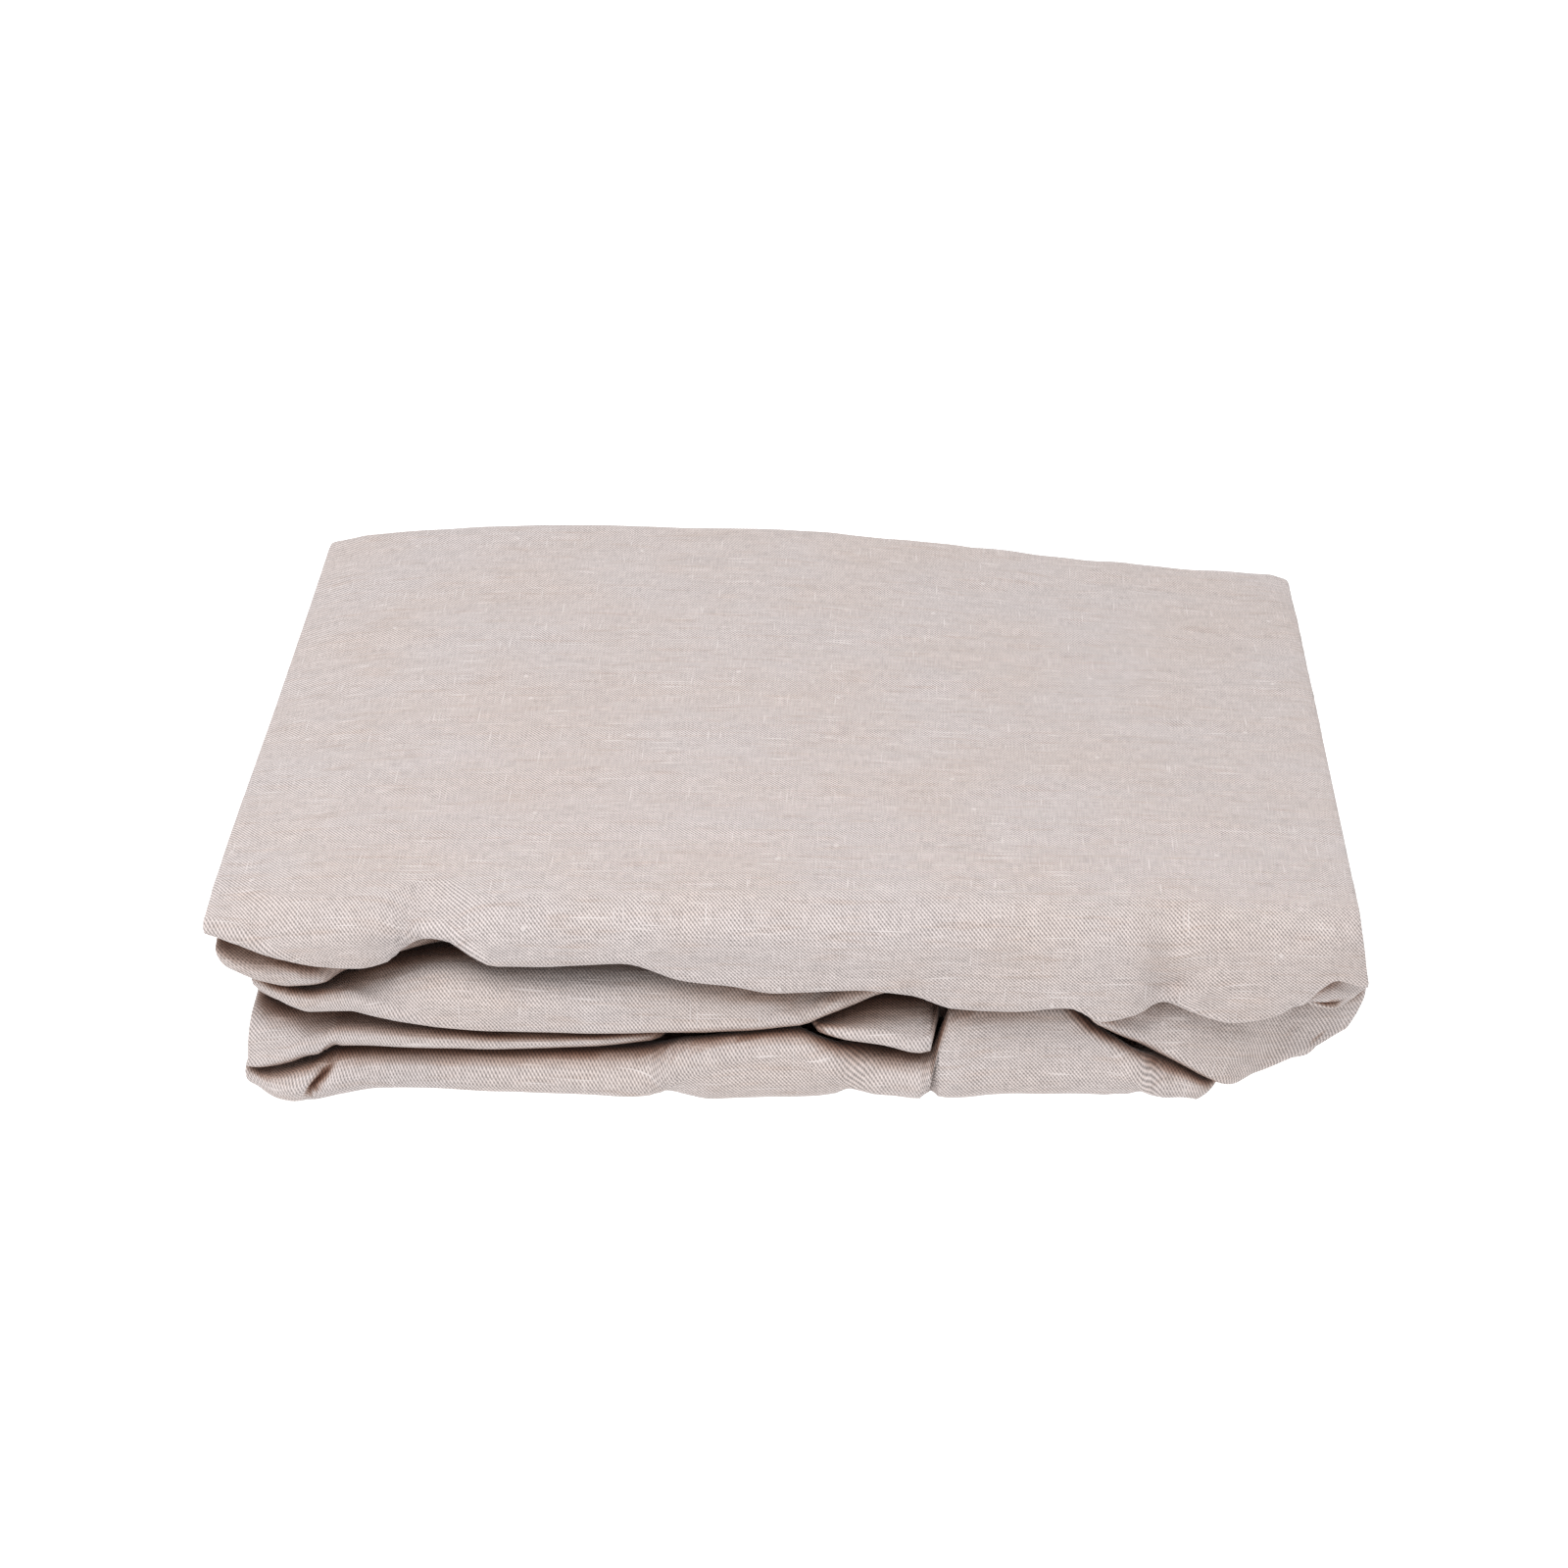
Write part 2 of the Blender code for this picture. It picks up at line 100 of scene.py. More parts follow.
# The folds along the front, from the lowest to the top one. Each row is one section:
# x, the front of the fold, its lip (the lowest point; the crest where a fold stands up),
# half the fold's thickness at the lip, how far it humps up before it turns, and how far
# the lip lies behind the turn (where the lowest fold leans back) or ahead of it.
FOLD_COLUMNS = ("x", "front", "lip", "half", "hump", "lean")
BOTTOM_FOLD = (
    (-190, -119, 8.6, 4, 0, 0),
    (-182, -125.5, 8.6, 4, 0, 0),
    (-176, -129.5, 10.4, 4.8, 0, 0),
    (-170, -131.2, 13, 6.2, 0, 0),
    (-164, -131, 15, 7.2, 0, 0),
    (-159, -130, 16.6, 8, 0, 0),
    (-153, -129, 18.2, 8.6, 0, 0),
    (-146, -127, 18.2, 8.6, 0, 0),
    (-138, -125.5, 18.2, 8.6, 0, 0),
    (-124, -125.2, 18.2, 8.6, 0, 0),
    (-100, -127, 18.4, 8.6, 0, 0),
    (-66, -130, 18.8, 8.6, 0, 0),
    (-50, -131.5, 19.2, 8.8, 0, 0),
    (-42, -132, 20.4, 8.8, 0, 0),
    (-32, -134.5, 24.2, 8.2, 0, 1),
    (-22, -137, 26.4, 7.6, 0, 2.5),
    (-14, -136, 27.2, 7, 0, 3),
    (2, -135, 28.2, 6.8, 0, 4),
    (8, -135, 27.8, 6.8, 0, 4),
    (12, -135.5, 26.2, 7, 0, 3),
    (19, -135.5, 23.6, 7.4, 0, 2),
    (27, -131.5, 20.6, 8.4, 0, 1),
    (36, -130, 18.4, 8.4, 0, 0),
    (47, -132.5, 18.8, 8.4, 0, 0),
    (51.6, -133.8, 20.8, 7.6, 0, 1),
    (54, -134.5, 25.5, 6.4, 0, 4),
    (56.5, -135, 34.5, 5, 0, 7.5),
    (60, -135.2, 36.6, 4.9, 0, 8.5),
    (64, -134.8, 37, 4.8, 0, 9),
    (72, -133.2, 37, 4.8, 0, 9),
    (95, -132.5, 37, 4.8, 0, 9),
    (99, -132.5, 34, 4.8, 0, 8),
    (107, -132.8, 28.4, 5, 0, 6),
    (114, -134, 24.4, 5.6, 0, 4),
    (119, -135.5, 21.6, 6.4, 0, 3),
    (124, -133, 18.6, 7, 0, 1),
    (129, -130.2, 15.8, 7.2, 0, 0),
    (138, -128.8, 11.6, 5.3, 0, 0),
    (143, -128.5, 9, 4.1, 0, 0),
    (148, -124.5, 6.2, 2.8, 0, 0),
    (152, -118.5, 4.4, 1.9, 0, 0),
    (156, -111, 4.4, 1.9, 0, 0),
    (163, -108, 9, 4.2, 0, 0),
    (172, -109, 15, 7.2, 0, 0),
    (190, -105, 15, 7.2, 0, 0),
)
THIN_FOLD = (
    (-190, -122, 10, 4, 0, 0),
    (-184, -124, 11, 4, 0, 0),
    (-174, -126, 14.4, 4, 0, 0),
    (-166, -126.5, 17.6, 4, 0, 0),
    (-160, -126.5, 18.4, 4, 0, 0),
    (-154, -126.5, 20.8, 4, 0, 0),
    (-150, -126, 20.8, 4, 0, 0),
    (-107, -126.5, 20.2, 3.6, 0, 0),
    (-92, -126.5, 20.2, 3, 0, 0),
    (-62, -126.5, 21.2, 2.4, 0, 0),
    (-41, -124.5, 22.8, 2.2, 0, 0),
    (-34, -116.5, 23, 3.2, 0, 0),
    (-27, -108, 21.6, 5, 0, 0),
    (-14, -102, 19, 6.4, 0, 0),
    (6, -102, 19, 6.4, 0, 0),
    (9, -106, 22.5, 4.8, 0, 0),
    (11.5, -121, 27.4, 1.6, 1.5, 0),
    (14, -125.5, 27.4, 1.7, 2.4, 0),
    (18, -127.5, 27, 2, 3, 0),
    (24, -129.5, 26.2, 2.6, 3, 0),
    (36, -131, 24.8, 3.1, 4, 0),
    (47, -132.5, 22.8, 3.2, 4, 0),
    (51, -132.5, 23.6, 3, 4, 0),
    (52.6, -129.5, 26.2, 2.8, 4, 0),
    (53.6, -120, 28, 3, 3, 0),
    (56, -112.5, 20.5, 5.2, 0, 0),
    (60, -111.5, 17.5, 6.6, 0, 0),
    (110, -110, 17, 6.8, 0, 0),
    (150, -108, 17, 6.8, 0, 0),
    (190, -103, 17, 6.8, 0, 0),
)
MIDDLE_FOLD = (
    (-190, -122, 43, 4.4, -1.5, 0),
    (-183, -125, 41, 4.2, -1.5, 0),
    (-175, -127, 38, 4, -1.5, 0),
    (-168, -128, 36.5, 4, -1.5, 0),
    (-150, -128.5, 36.6, 4, 0, 0),
    (-138, -128.5, 34.4, 4, 2, 0),
    (-111, -128.5, 29.8, 4, 4, 0),
    (-93, -128.5, 28.2, 4, 3, 0),
    (-59, -128.5, 27.4, 4, 1, 0),
    (-14, -128.5, 28.2, 4, 0, 0),
    (8, -128, 30.4, 4, 0, 0),
    (12, -127.6, 31.8, 4, 0, 0),
    (16, -127, 33.6, 4, 0, 0),
    (24, -125, 36, 4, 1, 0),
    (36, -122, 39.5, 3.8, 2, 0),
    (54, -120, 39.5, 3.8, 2, 0),
    (60, -112, 35, 6, 0, 0),
    (94, -111, 34, 6.4, 0, 0),
    (98, -117, 35, 5, 0, 4),
    (107, -126.5, 30.2, 3.8, 0, 9),
    (114, -126.5, 26.2, 3.8, 0, 9),
    (121, -126.5, 22.8, 3.8, 0, 9),
    (129, -127, 18.4, 3.8, 0, 9),
    (138, -127.5, 13.4, 3.8, 0, 9),
    (143, -127, 10.2, 3.8, 0, 9),
    (147, -126.5, 8.2, 3.8, 0, 9),
    (153, -125.6, 5.4, 3.8, 0, 9),
    (160, -122, 3.2, 3.6, 0, 8),
    (168, -117, 4.4, 3.4, 0, 5),
    (176, -116, 8.8, 3.3, 0, 4),
    (184, -115, 14, 3.2, 0, 3),
    (190, -113.5, 19.5, 3.2, 0, 2),
)
ROLL_FOLD = (
    (-190, -127.5, 52.7, 5.2, 2.5, 0),
    (-184, -128.5, 49.7, 5.2, 2.5, 0),
    (-176, -128.5, 47.4, 5.4, 1.5, 0),
    (-168, -128.5, 47.2, 5.2, 0.5, 0),
    (-160, -126.5, 46.9, 4.4, 0, 0),
    (-154, -123, 47.7, 4.6, 0, 0),
    (-150, -121.8, 48.3, 4.8, 0, 0),
    (-142, -121.4, 50.2, 4.8, 0, 0),
    (-134, -121, 52.4, 4.4, 0, 0),
    (-127, -119.5, 53.6, 4.2, 0, 0),
    (-120, -115, 52.6, 4.8, 0, 0),
    (-110, -110, 50.5, 6.2, 0, 0),
    (-60, -110, 50, 6.4, 0, 0),
    (150, -108, 49.5, 6.6, 0, 0),
    (160, -113, 47.5, 4.8, 0, 0),
    (166, -121.5, 41, 3.6, 0, 1),
    (172, -125, 38, 3.2, 0, 3.5),
    (178, -125, 37.2, 3, 0, 4),
    (184, -121.5, 38.5, 3, 0, 4),
    (190, -118, 41, 3, 0, 3),
)
TOP_FOLD = (
    (-190, -129, 69.5, 3.4, 0, 0),
    (-180, -130.5, 66.5, 3.8, 0, 0),
    (-168, -131, 60, 4.2, 0, 0),
    (-154, -131.5, 56, 4.4, 0, 0),
    (-140, -131.5, 55, 4.4, 0, 0),
    (-129, -130, 56.5, 4.4, 0, 0),
    (-122, -128, 60.5, 4.4, 0, 0),
    (-116, -126.5, 63.5, 4.4, 0, 0),
    (-108, -128, 63, 4.4, 0, 0),
    (-100, -130.5, 59, 4.4, 0, 0),
    (-92, -131.5, 55.5, 4.4, 0, 0),
    (-77, -131.5, 55.6, 4.4, 0, 0),
    (-51, -131.5, 56.8, 4.4, 0, 0),
    (-32, -131.5, 50.6, 4.4, 0, 0),
    (-16, -131.5, 48.4, 4.4, 0, 0),
    (0, -131.5, 45.4, 4.4, 0, 0),
    (26, -131.5, 46.4, 4.4, 0, 0),
    (45, -131.5, 44.4, 4.4, 0, 0),
    (52, -131.5, 41.6, 4.4, 0, 0),
    (58, -131.5, 39.4, 4.4, 0, 0),
    (76, -132, 38.8, 4.2, 0, 0),
    (97, -133, 41.2, 4, 0, 0),
    (108, -133, 36.2, 4, 0, 0),
    (118, -132.5, 38.4, 4, 0, 0),
    (128.5, -130, 42.4, 4, 0, 0),
    (138, -132.5, 39, 3.9, 0, 0),
    (148, -133.5, 36.2, 3.8, 0, 0),
    (156, -133.5, 38, 3.7, 0, 0),
    (168, -133, 44.6, 3.5, 0, 0),
    (174, -132.5, 50.5, 3.3, 0, 0),
    (180, -131.5, 54, 3.2, 0, 0),
    (184, -131, 52.5, 3.2, 0, 0),
    (187, -130.5, 51, 3.2, 0, 0),
    (190, -130, 50.8, 3.2, 0, 0),
)
FOLDS = (BOTTOM_FOLD, THIN_FOLD, MIDDLE_FOLD, ROLL_FOLD, TOP_FOLD)

# Where each fold along the back ends, from the lowest up
BACK_FOLDS_Y = (132.0, 136.0, 131.0, 134.5)

# The height of the pack, by section: at the front, the middle and the back
HEIGHT_COLUMNS = ("x", "front", "middle", "back")
HEIGHTS = (
    (-190, 77.0, 80.5, 86.5),
    (-150, 79.5, 83.5, 88.6),
    (-112, 80.0, 84.5, 90.0),
    (-19, 80.0, 85.0, 88.7),
    (38, 79.5, 84.0, 87.0),
    (72, 79.0, 82.5, 84.2),
    (117, 78.0, 81.0, 81.0),
    (150, 77.0, 79.5, 79.5),
    (190, 75.0, 77.8, 78.6),
)

# How far the back edge is drawn in from BACK_Y, by section
BACK_EDGE = (
    (-190, 6.0), (-175, 1.0), (-112, -1.5), (-19, -1.0), (38, 5.5), (72, 9.5),
    (117, 12.5), (150, 16.5), (184, 19.5), (190, 23.5),
)

# How far the ends of the layers are drawn in from the full width, by height
LEFT_END = (
    (0, 11.5), (8, 10.0), (14, 12.0), (20, 12.5), (30, 13.5), (38, 16.5), (48, 16.0), (53, 12.0),
    (59, 7.0), (66, 3.8), (72, 3.2), (80, 3.0),
)
RIGHT_END = (
    (0, 9.0), (12, 4.0), (20, -1.0), (30, -5.8), (38, -7.8), (46, -6.8), (52, -5.3), (66, -2.8), (80, -1.0),
)

# Where the drawn-in ends begin, and how much less they are drawn in at the back
LEFT_END_FROM = -110.0
RIGHT_END_FROM = 120.0
LEFT_END_EASE = 0.6
RIGHT_END_EASE = 0.5

# How far the back of the pack is pushed to the right of the front, at its middle and ends
SKEW_MIDDLE = 11.25
SKEW_ENDS = 4.25


# Soft creases along the front, listed one by one. Each row is one ridge or trough: the x and z
# of its two ends, how far the cloth stands out there, and half the crease's width.
FRONT_CREASES = (
    (-120, 64, -147, 70, 2.2, 3.4),
    (-119, 61, -136, 60, -2.2, 3.2),
    (-154.0, 22, -160, 11, -3.4, 1.9),
    (-156.5, 17, -166, 0, -4.4, 1.9),
    (-161, 17, -172, 5, 0.9, 3.0),
    (-165, 28, -156, 20, -1.2, 2.2),
    (-169, 25, -158, 17, 0.8, 2.6),
    (-118, 66, -104, 74, -0.5, 5.0),
    (124, 42, 144, 56, 1.9, 3.6),
    (128, 41, 140, 47, -1.0, 3.4),
    (123, 43, 112, 52, -0.6, 4.0),
    (141, 14.5, 159, 8, -1.2, 1.8),
    (143, 18, 159, 12, 0.6, 2.2),
    (136, 24, 154, 21, 0.6, 2.6),
    (160, 27, 171, 18.5, -1.3, 2.0),
    (170, 18.5, 181, 17.5, -1.2, 2.0),
    (164, 30, 177, 22, 0.8, 2.6),
    (-30, 52, -12, 62, -0.5, 4.5),
    (30, 52, 52, 58, 0.5, 5.0),
    (82, 12, 92, 30, -0.7, 3.5),
    (70, 8, 76, 26, 0.5, 3.5),
    (12, 12, 40, 9, -0.6, 2.5),
    (162, 41, 171, 37, -2.2, 1.7),
    (166, 36.4, 188, 37, -3.4, 1.6),
    (168, 43, 184, 44, 0.8, 3.0),
    (170, 32, 186, 33, 0.9, 2.2),
    (163, 33, 171, 28, -1.5, 1.9),
    (168, 28, 184, 29, -1.3, 1.6),
    (118, 44, 134, 57, -1.5, 3.4),
    (-178, 55, -160, 51, -0.7, 1.8),
    (-181, 60, -168, 54, 0.7, 2.2),
)

# The same on the top, with x and y
TOP_CREASES = (
    (70, 96, 108, 104, 1.02, 3),
    (88, 88, 128, 98, -1.02, 3.5),
    (112, 102, 132, 112, 1.19, 3),
    (96, 60, 134, 68, -1.02, 3.2),
    (120, 76, 152, 84, 1.02, 3.4),
    (60, 30, 118, 38, 0.85, 3.2),
    (98, 22, 146, 18, -0.85, 2.8),
    (36, 4, 92, 8, -0.68, 2.6),
    (110, -12, 160, -8, 0.85, 3),
    (126, -46, 158, -52, -0.85, 2.6),
    (40, -64, 96, -58, 0.59, 2.6),
    (130, -78, 168, -84, 0.77, 2.4),
    (-150, -60, -108, -66, 0.51, 2.4),
    (-60, -38, -20, -44, 0.51, 2.2),
    (-100, 36, -52, 40, -0.59, 3),
    (-40, 62, 20, 66, 0.59, 3),
)

# The camera, and the softbox above the front, in metres and degrees
CAMERA_PLACE = (-0.0043, -1.08, 0.6701)
CAMERA_DOWN = 30.0
SENSOR_WIDTH = 36.0
SOFTBOX_PLACE = (-0.5, -0.75, 1.65)
SOFTBOX_SIZE = 1.0

# The rows of mesh across the width, closest in the creased ends. Each row here is one
# stretch: the x where it ends, and how many rows of mesh it has.
STRETCHES = ((-138.0, 32), (104.0, 78), (WIDTH / 2 - END_ROUND, 54))

# The round end of each layer. Each row is a row of mesh: the share of the cloth's thickness
# left there, and how far out along the round it lies. The cloth is doubled there, so two
# round edges of plies show, with a groove between them.
END_ROWS = ((0.96, 0.45), (0.84, 0.8), (0.66, 0.97), (0.46, 1.0), (0.28, 0.88), (0.13, 0.6), (0.0, 0.3))

# Where the points along a fold's middle line lie, from 0 at its start through 2 at its knee
# to 4 at its tip: on a side that shows, and on one that the layers hide
HIDDEN_PLACES = (0.0, 0.6, 1.0, 1.4, 1.8, 2.2, 2.6, 3.0, 3.5)
SHOWN_PLACES = (0.0, 0.55, 0.85, 1.0, 1.25, 1.5, 1.75, 2.0, 2.25, 2.5, 2.75, 3.0, 3.2, 3.4, 3.6, 3.8)
TOP_PLACES = tuple(k / 12 for k in range(12)) + SHOWN_PLACES[3:]
TIP_TURNS = tuple(math.radians(-90.0 + 22.5 * k) for k in range(9))
BACK_TURNS = tuple(math.radians(-90.0 + 30.0 * k) for k in range(7))
TOP_STEPS = 44
CORNER_STEPS = 7
FLAP_STEPS = 8

# For the painted shade between the layers, each point is checked for cloth close by: straight
# out, and in this many ways around that, at two slants. Then how far away a check starts and
# ends, in metres, and which shares of closeness count as open, with no painted shade, and as
# shut in, with full painted shade.
CREVICE_WAYS = 8
CREVICE_ASIDE = (0.9, 2.2)
CREVICE_START = 0.0001
CREVICE_REACH = 0.018
CREVICE_LOW = 0.02
CREVICE_HIGH = 0.74

# The depths, in millimetres, at which painted shade starts in a trough's bottom, and at which it is full
TROUGH_LOW = 1.5
TROUGH_HIGH = 3.8


def linear(hex_colour):
    """An sRGB hex colour as linear red, green, blue and alpha."""
    parts = (int(hex_colour[k:k + 2], 16) / 255 for k in (1, 3, 5))
    return tuple(c / 12.92 if c <= 0.04045 else ((c + 0.055) / 1.055) ** 2.4 for c in parts) + (1.0,)


def smoothstep(low, high, value):
    """0 at low, 1 at high, and a soft rise between them."""
    share = np.clip((value - low) / (high - low), 0.0, 1.0)
    return share * share * (3.0 - 2.0 * share)


def read(rows, column, x):
    """The values in a column of a table at x, on a curve that doesn't overshoot its rows."""
    xs = np.array([row[0] for row in rows], dtype=float)
    ys = np.array([row[column] for row in rows], dtype=float)
    x = np.clip(x, xs[0], xs[-1])
    slopes = np.diff(ys) / np.diff(xs)
    product, total = slopes[:-1] * slopes[1:], slopes[:-1] + slopes[1:]
    tangents = np.zeros(len(xs))
    tangents[1:-1] = np.where(product > 0.0, 2.0 * product / np.where(product > 0.0, total, 1.0), 0.0)
    i = np.clip(np.searchsorted(xs, x) - 1, 0, len(xs) - 2)
    span = xs[i + 1] - xs[i]
    t = (x - xs[i]) / span
    rise = (ys[i + 1] - ys[i]) * t * t * (3.0 - 2.0 * t)
    return ys[i] + rise + span * t * (1.0 - t) * ((1.0 - t) * tangents[i] - t * tangents[i + 1])


def unit(vector):
    return vector / np.linalg.norm(vector)


def fold_spine(rank, x):
    """The line between the two layers of a front fold, as its start, knee and tip.

    Returns the start, the places where the knee's bend begins and ends, the knee and the
    tip, and half the fold's thickness at the five stations from the start to the tip.
    """
    front, lip, half, hump, lean = (
        float(read(FOLDS[rank], FOLD_COLUMNS.index(name), x)) for name in FOLD_COLUMNS[1:]
    )
    level = (2 * rank + 1) * PITCH
    full = PITCH - GAP / 2
    start = np.array([FOLD_START_Y, level])
    if rank == 0:
        tip = np.array([front + half + lean, lip - half])
        bend = smoothstep(0.0, TURN_RISE, tip[1] - level)
        thinning = np.array(LYING_THINNING) * (1.0 - bend) + np.array(STANDING_THINNING) * bend
        knee = np.array([front + full, full + (half - full) * thinning[2] + GAP / 2])
    else:
        tip = np.array([front + half, lip + half])
        knee = np.array([tip[0] + lean, level + hump])
        bend = smoothstep(0.0, TURN_RISE, knee[1] - tip[1])
        thinning = np.array(HANGING_THINNING)
    knee[0] = knee[0] * bend + (tip[0] + KNEE_BACK) * (1.0 - bend)
    share = STANDING_REACH if rank == 0 else HANGING_REACH
    turn = np.linalg.norm(tip - knee)
    reach = min(KNEE_ROUND, share * turn, HANGING_REACH * np.linalg.norm(knee - start))
    before = knee - reach * unit(knee - start)
    after = knee + reach * unit(tip - knee)
    return (start, before, knee, after, tip), full + (half - full) * thinning


def spine_point(spine, place):
    """The point on a fold's middle line at a place from 0 to 4."""
    start, before, knee, after, tip = spine
    if place <= 1.0:
        return start + (before - start) * place
    if place >= 3.0:
        return after + (tip - after) * (place - 3.0)
    t = (place - 1.0) / 2.0
    return before * (1.0 - t) ** 2 + knee * 2.0 * t * (1.0 - t) + after * t * t


def side_points(spine, thickness, places, side):
    """Middle points of the layer on one side of a fold's middle line, from its start."""
    heading = unit(spine[4] - spine[2])
    line = np.array([spine_point(spine, place) for place in places] + [spine[4]])
    along = np.gradient(line, axis=0)
    along[0] = (-1.0, 0.0)
    thick = read(list(zip(range(5), thickness)), 1, np.array(places))
    points = []
    for place, way, half in zip(line, along, thick):
        up = unit(np.array([way[1], -way[0]]))
        points.append((*(place + side * up * (half + GAP / 2) / 2), (half - GAP / 2) / 2))
    return points, heading


def front_fold(rank, x):
    """Middle points of the cloth round a front fold, each with half the cloth's thickness."""
    spine, thickness = fold_spine(rank, x)
    below = SHOWN_PLACES if rank == 0 else HIDDEN_PLACES
    above = HIDDEN_PLACES if rank == 0 else TOP_PLACES if rank == len(FOLDS) - 1 else SHOWN_PLACES
    lower, heading = side_points(spine, thickness, below, -1.0)
    upper, heading = side_points(spine, thickness, above, 1.0)
    up = np.array([heading[1], -heading[0]])
    half = thickness[-1]
    tip = []
    for turn in TIP_TURNS:
        way = math.cos(turn) * heading + math.sin(turn) * up
        tip.append((*(spine[4] + way * (half + GAP / 2) / 2), (half - GAP / 2) / 2))
    return lower + tip + upper[::-1]


def back_fold(rank):
    """Middle points of the cloth round the back fold above a pair of layers."""
    level = 2 * (rank + 1) * PITCH
    off, cloth = PITCH / 2, (PITCH - GAP) / 2
    centre = BACK_FOLDS_Y[rank] - off - cloth
    return [(centre + off * math.cos(a), level + off * math.sin(a), cloth) for a in BACK_TURNS]


def flap():
    """Middle points of the top layer's end, over the back edge and down to its hem."""
    cloth = (PITCH - GAP) / 2
    top = (LAYERS - 0.5) * PITCH
    back = BACK_Y - cloth + FLAP_THINNER
    centre = np.array([back - FLAP_CORNER, top - FLAP_CORNER])
    points = []
    for step in range(CORNER_STEPS):
        share = step / (CORNER_STEPS - 1)
        angle = math.radians(90.0) * (1.0 - share)
        way = np.array([math.cos(angle), math.sin(angle)])
        points.append((*(centre + way * FLAP_CORNER), cloth - FLAP_THINNER * share))
    for step in range(1, FLAP_STEPS + 1):
        share = step / FLAP_STEPS
        z = centre[1] + (FLAP_END_Z - centre[1]) * share
        half = cloth - FLAP_THINNER + (FLAP_END_HALF - cloth + FLAP_THINNER) * share
        points.append((back + 0.5 * share, z, half))
    hem = points.pop()
    points.append((hem[0], hem[1] + HEM_ROUND, hem[2]))
    points.append((hem[0], hem[1] + HEM_ROUND / 4, hem[2] * 0.8))
    points.append((hem[0], hem[1], hem[2] * 0.45))
    return points


def rising_place(path, first, z):
    """Where along the path, as a fractional index, it first rises through height z."""
    k = next(k for k in range(first + 1, len(path)) if path[k - 1][1] < z <= path[k][1])
    return k - 1 + (z - path[k - 1][1]) / (path[k][1] - path[k - 1][1])


def section(x):
    """Middle points of the strip in the section at x, and the runs of points in each fold.

    Each run is its first and last index, and the place that keeps the same length along the
    cloth in every section, so that the weave runs straight there.
    """
    cloth = (PITCH - GAP) / 2
    path = [(BACK_Y - 19.0, PITCH / 2, cloth * 0.6), (BACK_Y - 22.0, PITCH / 2, cloth)]
    runs = []
    for rank in range(len(FOLDS)):
        first = len(path)
        path += front_fold(rank, x)
        anchor = len(path) - 1
        if rank == 0:
            lip, half = (float(read(BOTTOM_FOLD, FOLD_COLUMNS.index(name), x)) for name in ("lip", "half"))
            anchor = rising_place(path, first, min(PITCH, lip - half))
        runs.append((first, len(path) - 1, anchor))
        if rank < len(FOLDS) - 1:
            first = len(path)
            path += back_fold(rank)
            runs.append((first, len(path) - 1, first + len(BACK_TURNS) // 2))
    top = (LAYERS - 0.5) * PITCH
    far = BACK_Y - cloth + FLAP_THINNER - FLAP_CORNER
    path += [(FOLD_START_Y + (far - FOLD_START_Y) * k / TOP_STEPS, top, cloth) for k in range(1, TOP_STEPS)]
    path += flap()
    runs[-1] = (runs[-1][0], len(path) - 1, runs[-1][2])
    return np.array(path), runs


def settle(x, y, z):
    """Moves points of the even pack to where the real, uneven pack has them.

    Whatever is close to the surface that the pack rests on lies flat on it.
    """
    z = np.where(z < FLOOR_FACE, GAP / 2, z)
    share = np.clip((y - FRONT_Y) / (BACK_Y - FRONT_Y), 0.0, 1.0)
    front, middle, back = (read(HEIGHTS, HEIGHT_COLUMNS.index(name), x) for name in HEIGHT_COLUMNS[1:])
    rest = 1.0 - share
    height = rest * rest * front + rest * share * (4 * middle - front - back) + share * share * back
    left = read(LEFT_END, 1, z) * (1.0 - LEFT_END_EASE * share) * smoothstep(LEFT_END_FROM, -WIDTH / 2, x)
    right = read(RIGHT_END, 1, z) * (1.0 - RIGHT_END_EASE * share) * smoothstep(RIGHT_END_FROM, WIDTH / 2, x)
    skew = share * (SKEW_MIDDLE - SKEW_ENDS * x / (WIDTH / 2))
    pull = smoothstep(0.1, 1.0, share)
    lift = (height / (LAYERS * PITCH) - 1.0) * smoothstep(FLOOR_FACE, PITCH, z)
    back_edge = read(BACK_EDGE, 1, x) * pull
    return np.stack((x + left - right + skew, y - back_edge, z * (1.0 + lift)), -1)


def row_list():
    """Each row of mesh across the width: its x, and the share of the cloth's thickness there."""
    inner = WIDTH / 2 - END_ROUND
    left = [(-inner - END_ROUND * out, share) for share, out in reversed(END_ROWS)]
    middle, start = [(-inner, 1.0)], -inner
    for end, count in STRETCHES:
        middle += [(start + (end - start) * k / count, 1.0) for k in range(1, count + 1)]
        start = end
    right = [(inner + END_ROUND * out, share) for share, out in END_ROWS]
    return left + middle + right


def strip_points():
    """The strip's two faces as points in millimetres, and the same points' places on the cloth."""
    grids, lengths, anchors = [], [], []
    runs = None
    for x, share in row_list():
        path, runs = section(x)
        middle, half = path[:, :2], path[:, 2:3] * share
        along = np.gradient(middle, axis=0)
        side = np.array([along[:, 1], -along[:, 0]]).T
        side /= np.linalg.norm(side, axis=1)[:, None]
        ring = np.concatenate((middle - side * half, (middle + side * half)[::-1]))
        grids.append(settle(x, ring[:, 0], ring[:, 1]))
        steps = np.linalg.norm(np.diff(middle, axis=0), axis=1)
        lengths.append(np.concatenate(([0.0], np.cumsum(steps))))
        anchors.append([anchor for _, _, anchor in runs for _ in (0, 1)])
    points, lengths = np.array(grids), np.array(lengths)
    places = np.arange(lengths.shape[1])
    stations = [end for first, last, _ in runs for end in (first, last)]
    held = np.array([np.interp(anchor, places, row) for anchor, row in zip(anchors, lengths)])
    for row, own in zip(lengths, held):
        row += np.interp(places, stations, held.mean(axis=0) - own)
    return points, np.concatenate((lengths, lengths[:, ::-1]), axis=1), runs


